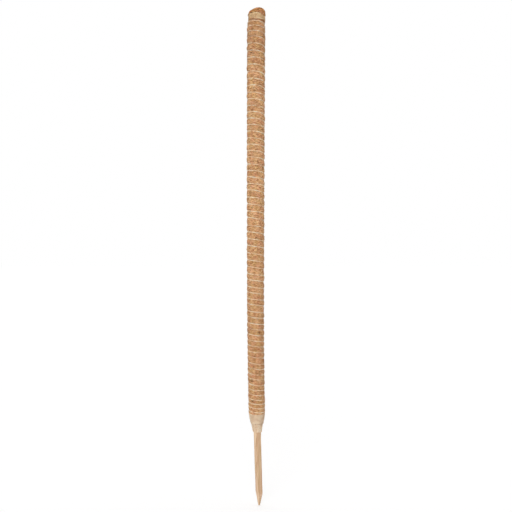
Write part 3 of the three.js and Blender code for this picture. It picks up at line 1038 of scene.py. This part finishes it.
# %% Lashings
TIGHT_TWINE_R = 1.38 * MM
TIGHT_STEP = 1.1 * MM
TUCK_TURN = 0.14
TUCK_DEPTH = 1.2
LOW_TILT = -1.8 * MM
NECK_LOW_Z = 987.4 * MM
# height of the first turn, number of turns, pitch, and tilt of the first and of the last turn
COLLAR_TURNS = (-1.9 * MM, 7, 2.77 * MM, LOW_TILT, LOW_TILT)
CONE_TURNS = (18.5 * MM, 10, 2.64 * MM, LOW_TILT, 0.0)
NECK_TURNS = (NECK_LOW_Z, 6, 2.57 * MM, NECK_TILT, NECK_TILT)
NECK_OUTSIDE = 18.7 * MM
COLLAR_Z = np.array([0, 5, 10, 14.7, 19]) * MM
COLLAR_R = np.array([11.6, 12.3, 12.8, 13.7, 14.5]) * MM
CONE_Z = np.array([17, 24.4, 31, 38.9, 45.6]) * MM
CONE_R = np.array([14.8, 16.6, 18.1, 19.3, 19.95]) * MM
HUG_TOP_Z = 13 * MM
STAKE_SEEN_HALF = 8.4 * MM


def collar_outside(angle, z):
    """Close round the square stake at first, then round."""
    hug = (stake_reach(angle) - STAKE_SEEN_HALF) * (1 - ease(z, 0, HUG_TOP_Z))
    return np.interp(z, COLLAR_Z, COLLAR_R) + hug


def cone_outside(angle, z):
    return np.interp(z, CONE_Z, CONE_R)


def neck_outside(angle, z):
    return NECK_OUTSIDE + neck_bulge(angle)


def lashing(name, solid, seed, wound_as, outside, finish):
    """A tight winding with whole turns, both ends tucked in behind, and a tilt towards the front."""
    low, turns, pitch, first_tilt, last_tilt = wound_as
    at = np.linspace(0, turns, round(turns * FULL_TURN * float(outside(0.0, low)) / TIGHT_STEP))
    angle = BACK - FULL_TURN * at
    z = low + pitch * at + np.interp(at, [0, turns], [first_tilt, last_tilt]) * np.sin(angle)
    tucked = 1 - ease(at, 0, TUCK_TURN) + ease(at, turns - TUCK_TURN, turns)
    path, outward = wound(at, z, outside(angle, z) - TIGHT_TWINE_R * (1 + TUCK_DEPTH * tucked))
    twine(name, path, outward, TIGHT_TWINE_R, finish, "lashing_twine", solid, seed=seed)
    return path, outward


collar = lashing("collar_winding", "collar_lashing", 61, COLLAR_TURNS, collar_outside, COLLAR_TWINE_LIT)
cone = lashing("cone_winding", "cone_lashing", 62, CONE_TURNS, cone_outside, TIGHT_TWINE)
neck = lashing("neck_winding", "top_lashing", 63, NECK_TURNS, neck_outside, NECK_TWINE)

# %% [markdown]
# Cheap twine is hairy. Short hairs start inside it and bend away from it in any direction. They are finer
# than the coir's strands, so fewer steps do.

# %% Fuzz of the twine
HAIR_STEPS = 5
HAIR_LENGTHS = (2 * MM, 6 * MM)
HAIR_RISE = (0.2 * MM, 1.6 * MM)
HAIR_CURL = 1.4
HAIR_ROOT = 0.9
HAIR_TILT = 1.3
HAIR_DRIFT = 0.5
HAIR_FACING = 0.2
HAIR_WIDTHS = (0.04 * MM, 0.08 * MM)


def hairs_on(name, seed, count, path, outward, radius, finish, slot):
    draw = np.random.default_rng(seed)
    at = draw.integers(1, len(path) - 1, count)
    along = unit(path[at + 1] - path[at - 1])
    side = np.cross(along, outward[at])
    tilt = draw.uniform(-HAIR_TILT, HAIR_TILT, (count, 1))
    lean = np.cos(tilt) * outward[at] + np.sin(tilt) * side
    drift = along * draw.choice([-1, 1], (count, 1)) + side * draw.normal(0, HAIR_DRIFT, (count, 1))
    share = np.linspace(0, 1, HAIR_STEPS)[:, None]
    lengths = draw.uniform(*HAIR_LENGTHS, (count, 1, 1))
    height = radius * HAIR_ROOT + draw.uniform(*HAIR_RISE, (count, 1, 1)) * share ** HAIR_CURL
    paths = path[at][:, None] + height * lean[:, None] + lengths * share * drift[:, None]
    facing = np.repeat((lean + HAIR_FACING * side)[:, None], HAIR_STEPS, axis=1)
    add_strands(name, paths, facing, draw, HAIR_WIDTHS, finish, slot)


hairs_on("twine_fuzz", 52, 1500, binding_path, binding_outward, TWINE_R, TWINE, "twine")
hairs_on("collar_fuzz", 64, 120, *collar, TIGHT_TWINE_R, COLLAR_TWINE_LIT, "lashing_twine")
hairs_on("cone_fuzz", 65, 240, *cone, TIGHT_TWINE_R, TIGHT_TWINE, "lashing_twine")
hairs_on("neck_fuzz", 66, 200, *neck, TIGHT_TWINE_R, NECK_TWINE, "lashing_twine")

# %% [markdown]
# Each end of the binding twine is tied behind the pole in an overhand knot. A knot like this is a trefoil
# that was cut open, and the trefoil has a simple formula, so it is drawn with sines rather than by hand.

# %% Knots
KNOT_POINTS = 90
KNOT_SIZE = 0.85 * MM
KNOT_R = 0.95 * MM
KNOT_OPEN = 0.12
TREFOIL_REACH = 3
KNOT_OUT = 1.2
KNOT_FACING = 0.3
TAIL_LENGTH = 9 * MM
TAIL_POINTS = 15
TAIL_ALONG = 0.5
TAIL_DOWN = 0.75
TAIL_OUT = 0.15


def knot(name, solid, end, before, outward, seed):
    along = unit(end - before)
    up = np.cross(outward, along)
    t = np.linspace(KNOT_OPEN, FULL_TURN - KNOT_OPEN, KNOT_POINTS)[:, None]
    trefoil_r = 2 + np.cos(3 * t)
    loop = trefoil_r * (np.sin(2 * t) * up - np.cos(2 * t) * along) + np.sin(3 * t) * outward
    loop = end + KNOT_SIZE * (loop + TREFOIL_REACH * along + KNOT_OUT * outward)
    drop = np.linspace(0, 1, TAIL_POINTS + 1)[1:, None]
    tail_way = TAIL_ALONG * along - TAIL_DOWN * up + TAIL_OUT * outward * (1 - drop)
    path = np.concatenate([loop, loop[-1] + TAIL_LENGTH * drop * tail_way])
    facing = np.repeat((outward + KNOT_FACING * up)[None], len(path), axis=0)
    twine(name, path, facing, KNOT_R, TWINE, "twine", solid, seed=seed)


knot("knot_low", "bottom_knot", binding_path[0], binding_path[1], binding_outward[0], 71)
knot("knot_high", "top_knot", binding_path[-1], binding_path[-2], binding_outward[-1], 72)

# %% [markdown]
# The cap is a tuft of darker coir folded over the top, leaning to the right, where it swells to a flap. It
# could be a heap of strands alone, but light would shine through, so there is a shell under them: an outside
# from the crown to the edge, and an inside a little smaller. The edge is slightly lower at the flap.

# %% Cap
CAP_BASE_Z = 1004 * MM
CAP_R = 18.8 * MM
CAP_LEAN = 6.9 * MM
CAP_TOP_Z = CROWN_Z - 3.2 * MM
CAP_THICK = 1.9 * MM
CAP_EDGE_Z = 1001.8 * MM
CAP_LUMP = 0.5 * MM
CAP_LUMP_SIZE = 6 * MM
EDGE_LUMP = 0.8 * MM
EDGE_LUMP_SIZE = 8 * MM
CROWN_R = 0.2 * MM
FLAP_DROP = 1.2 * MM
FLAP_SWELL = 2.6 * MM
FLAP_AT = math.radians(2)
FLAP_FULL = math.radians(27.5)
FLAP_END = math.radians(62.5)
SWELL_FROM = 0.2
SWELL_LOST = 0.25
DOME_SHARE = 0.68
DOME_FLAT = 2.05
DOME_STEEP = 0.63
CAP_COLUMNS = 96
CAP_ROWS = 64


def flap(angle):
    """One at the middle of the flap, nought away from it."""
    off = np.abs((angle - FLAP_AT + math.pi) % FULL_TURN - math.pi)
    return 1 - ease(off, FLAP_FULL, FLAP_END)


def dome_turn(share):
    """A quarter turn over the dome, from the crown to where the side begins."""
    return math.pi / 2 * np.clip(share / DOME_SHARE, 0, 1)


def cap_surface(angle, share, inset=0.0):
    """A point of the cap from the crown at share 0 to the edge at share 1."""
    rise = np.cos(dome_turn(share))
    down = np.clip((share - DOME_SHARE) / (1 - DOME_SHARE), 0, 1)
    edge_z = CAP_EDGE_Z - FLAP_DROP * flap(angle) + EDGE_LUMP * lumps(angle, 0.0, EDGE_LUMP_SIZE, 81)
    z = CAP_BASE_Z + (CAP_TOP_Z - CAP_BASE_Z) * rise + (edge_z - CAP_BASE_Z) * down - inset * rise
    dome = (1 - rise ** DOME_FLAT) ** DOME_STEEP
    swell = FLAP_SWELL * flap(angle) * ease(share, SWELL_FROM, DOME_SHARE) * (1 - SWELL_LOST * down)
    radius = CAP_R * dome + swell + CAP_LUMP * lumps(angle, z, CAP_LUMP_SIZE, 82) * dome - inset
    points = around(angle, z, np.maximum(radius, CROWN_R))
    points[..., 0] += CAP_LEAN * np.sin(math.pi / 2 * rise) ** 2
    return points


CAP_MAT = coir_finish("cap_under", (145, 88, 45), (215, 151, 94), (246, 187, 125), by_strand=False)
CAP_BROWN = coir_finish("cap_brown", (157, 98, 51), (227, 163, 101), (253, 199, 137))
CAP_RUST = coir_finish("cap_rust", (188, 112, 58), (243, 170, 110), (255, 211, 154))

cap_angles = evenly_round(CAP_COLUMNS)
cap_shares = np.linspace(1, 0, CAP_ROWS)[:, None]
cap_outside = cap_surface(cap_angles, cap_shares)
cap_inside = cap_surface(cap_angles, cap_shares[::-1], CAP_THICK)
cap_points = np.concatenate([cap_inside[1:], cap_outside[:-1]])
cap = add_grid("cap_tuft", cap_points, CAP_MAT, "cap_coir", "coir_cap")

# %% [markdown]
# The tuft was gathered at the crown, so its strands run down from there and swirl a little. They use the
# same tubes as before, on the cap's own surface. Lines all the way from crown to edge would look combed, so
# each strand starts anywhere and wanders.

# %% Strands of the cap
CAP_SLOPE = 34 * MM
CAP_STARTS = (0.02, 0.95)
CAP_FIRST = 0.03
CROWN_REACH = 0.25


def strands_on_cap(name, seed, count, finish):
    draw = np.random.default_rng(seed)
    swirl, fall = wandering(draw, count, lengths=(12 * MM, 30 * MM), slant=0.8)
    share = np.clip(draw.uniform(*CAP_STARTS, (count, 1)) + swirl / CAP_SLOPE, CAP_FIRST, 1.0)
    reach = np.maximum(np.sin(dome_turn(share)), CROWN_REACH) * CAP_R
    angle = draw.uniform(0, FULL_TURN, (count, 1)) + fall / reach
    on_cap = cap_surface(angle, share)
    outward = unit(on_cap - np.array([0, 0, NECK_Z]))
    over = bowed(draw, count, rise=(0.05 * MM, 0.7 * MM), dip=0.25 * MM)
    add_strands(name, on_cap + over[..., None] * outward, outward, draw, COARSE, finish, "cap_coir")


strands_on_cap("cap_strands_brown", 83, 760, CAP_BROWN)
strands_on_cap("cap_strands_rust", 84, 520, CAP_RUST)
strands_on_cap("cap_strands_dark", 86, 280, COIR_DARK)

# %% [markdown]
# Round the neck three more kinds of strand hide where cap, lashing and mat meet. Coir bunches up under the
# lashing and climbs over it on the left; its darkest strands, just under the lashing, are painted shade, a
# dark band where the lashing shades the coir. On the right a lock of the cap's fibre hangs over the lashing.
# The shell of the cap could have a lower edge there, but strands, half rust and half tan, look looser. A few
# pale wisps of the body's coir hang out from under the cap.

# %% Strands round the neck
CLIMB_SHARE = 0.3
UNDER_LASHING = 2.5 * MM
LEFT_CLIMB = 9 * MM
LEFT_WIDTH = math.radians(75)
OVERHANG_AT = math.radians(-28)
OVERHANG_HALF = math.radians(34)
OVERHANG_DROP = 5.5 * MM
WISPS = 220
WISP_WIDTHS = (0.12 * MM, 0.24 * MM)


def strands_at_neck(name, seed, count, finish, left_climb):
    """Strands just under the neck lashing, which climb over it on the left."""
    draw = np.random.default_rng(seed)
    angle, climb = wandering_round(draw, count, lengths=(8 * MM, 22 * MM), slant=0.25)
    leftness = np.clip(1 - np.abs(angle % FULL_TURN - math.pi) / LEFT_WIDTH, 0, 1)
    low = NECK_Z - UNDER_LASHING
    high = NECK_LOW_Z + NECK_TILT * np.sin(angle) + left_climb * leftness
    z = low + draw.uniform(0, 1, (count, 1)) * (high - low) + CLIMB_SHARE * climb
    z = np.clip(z, low, high)
    on_lashing = ease(z, NECK_Z, NECK_LOW_Z) * (leftness > 0)
    radius = mat_radius(angle, z) * (1 - on_lashing) + neck_outside(angle, z) * on_lashing
    radius = radius + bowed(draw, count, rise=(0.1 * MM, 0.6 * MM))
    strands_round(name, angle, z, radius, draw, COARSE, finish)


def strands_over_lashing(name, seed, count, finish):
    """Strands of the cap that hang over the neck lashing on the right."""
    draw = np.random.default_rng(seed)
    sideways, fall = wandering(draw, count, lengths=(6 * MM, 14 * MM), slant=0.5)
    angle = OVERHANG_AT + OVERHANG_HALF * draw.uniform(-1, 1, (count, 1)) + centred(sideways) / CAP_R
    low = CAP_EDGE_Z - OVERHANG_DROP * np.clip(1 - ((angle - OVERHANG_AT) / OVERHANG_HALF) ** 2, 0, 1)
    z = low + draw.uniform(0, 1, (count, 1)) * (CAP_BASE_Z - low) + CLIMB_SHARE * fall
    z = np.clip(z, low, CAP_BASE_Z)
    radius = neck_outside(angle, z) + bowed(draw, count, rise=(0.3 * MM, 0.8 * MM))
    strands_round(name, angle, z, radius, draw, COARSE, finish, "cap_coir")


# Painted shade: the dark strands make a dark band just under the neck lashing, where it shades the coir.
strands_at_neck("neck_strands_painted_shade", 87, 340, COIR_DARK, left_climb=1.8 * MM)
strands_at_neck("neck_strands_tan", 88, 420, COIR_TAN, LEFT_CLIMB)
strands_at_neck("neck_strands_chestnut", 89, 300, COIR_CHESTNUT, LEFT_CLIMB)
strands_over_lashing("overhang_rust", 90, 70, CAP_RUST)
strands_over_lashing("overhang_tan", 91, 70, COIR_TAN)

wisp = np.random.default_rng(85)
wisp_angle, wisp_climb = wandering_round(wisp, WISPS, lengths=(8 * MM, 20 * MM), slant=0.8)
wisp_z = np.clip(wisp.uniform(NECK_Z, CAP_EDGE_Z, (WISPS, 1)) + wisp_climb, NECK_Z, CAP_BASE_Z)
wisp_r = neck_outside(wisp_angle, wisp_z) + bowed(wisp, WISPS, rise=(0.0, 0.5 * MM), dip=0.5 * MM)
strands_round("neck_wisps", wisp_angle, wisp_z, wisp_r, wisp, WISP_WIDTHS, COIR_STRAW)
